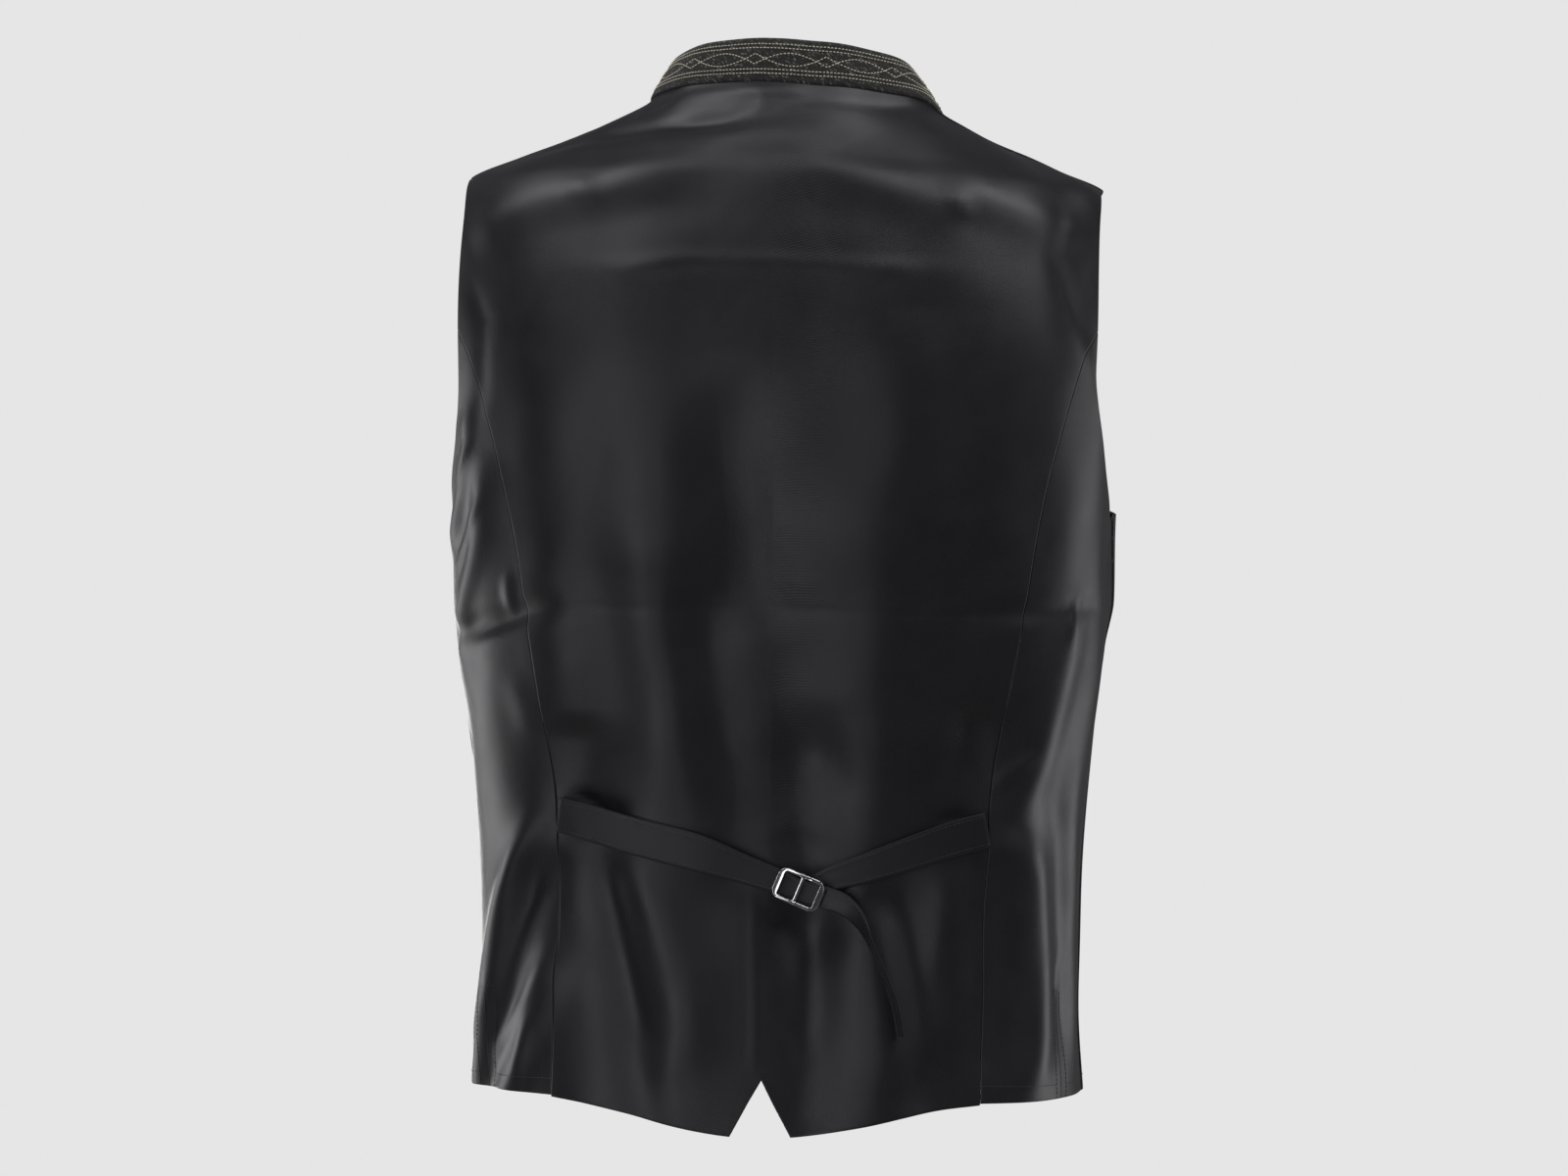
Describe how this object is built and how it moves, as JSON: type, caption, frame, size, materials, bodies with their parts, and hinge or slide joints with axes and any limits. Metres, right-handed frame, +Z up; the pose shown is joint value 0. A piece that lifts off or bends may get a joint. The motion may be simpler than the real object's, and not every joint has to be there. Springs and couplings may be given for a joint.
{
  "type": "trachten vest",
  "caption": "Filled-out trachten vest with satin back, cinch strap and buckle, notched back hem, wool fronts and a stitched stand collar.",
  "frame": {"origin": "on the body's middle line, midway between the neck points of the two shoulder seams, in the plane of those seams", "axes": "+Z up the body, front faces -Y, back faces +Y, the wearer's left side is +X"},
  "size_m": [0.4202, 0.2636, 0.6782],
  "materials": {
    "satin": "black twill satin, soft sheen",
    "wool": "charcoal felted wool, matt",
    "collar_wool": "charcoal flecked wool, matt, stitched",
    "strap_satin": "black twill satin, edge-stitched",
    "buckle_metal": "bright nickel plate",
    "button_horn": "dark horn look, polished"
  },
  "bodies": {
    "root": {"back": "satin", "side_left": "satin", "side_right": "satin", "front_left": "wool", "front_right": "wool", "collar": "collar_wool", "strap_left": "strap_satin", "strap_right": "strap_satin", "buckle": "buckle_metal", "button_1": "button_horn", "button_2": "button_horn", "button_3": "button_horn", "button_4": "button_horn", "button_5": "button_horn", "button_6": "button_horn", "button_7": "button_horn"}
  },
  "joints": []
}
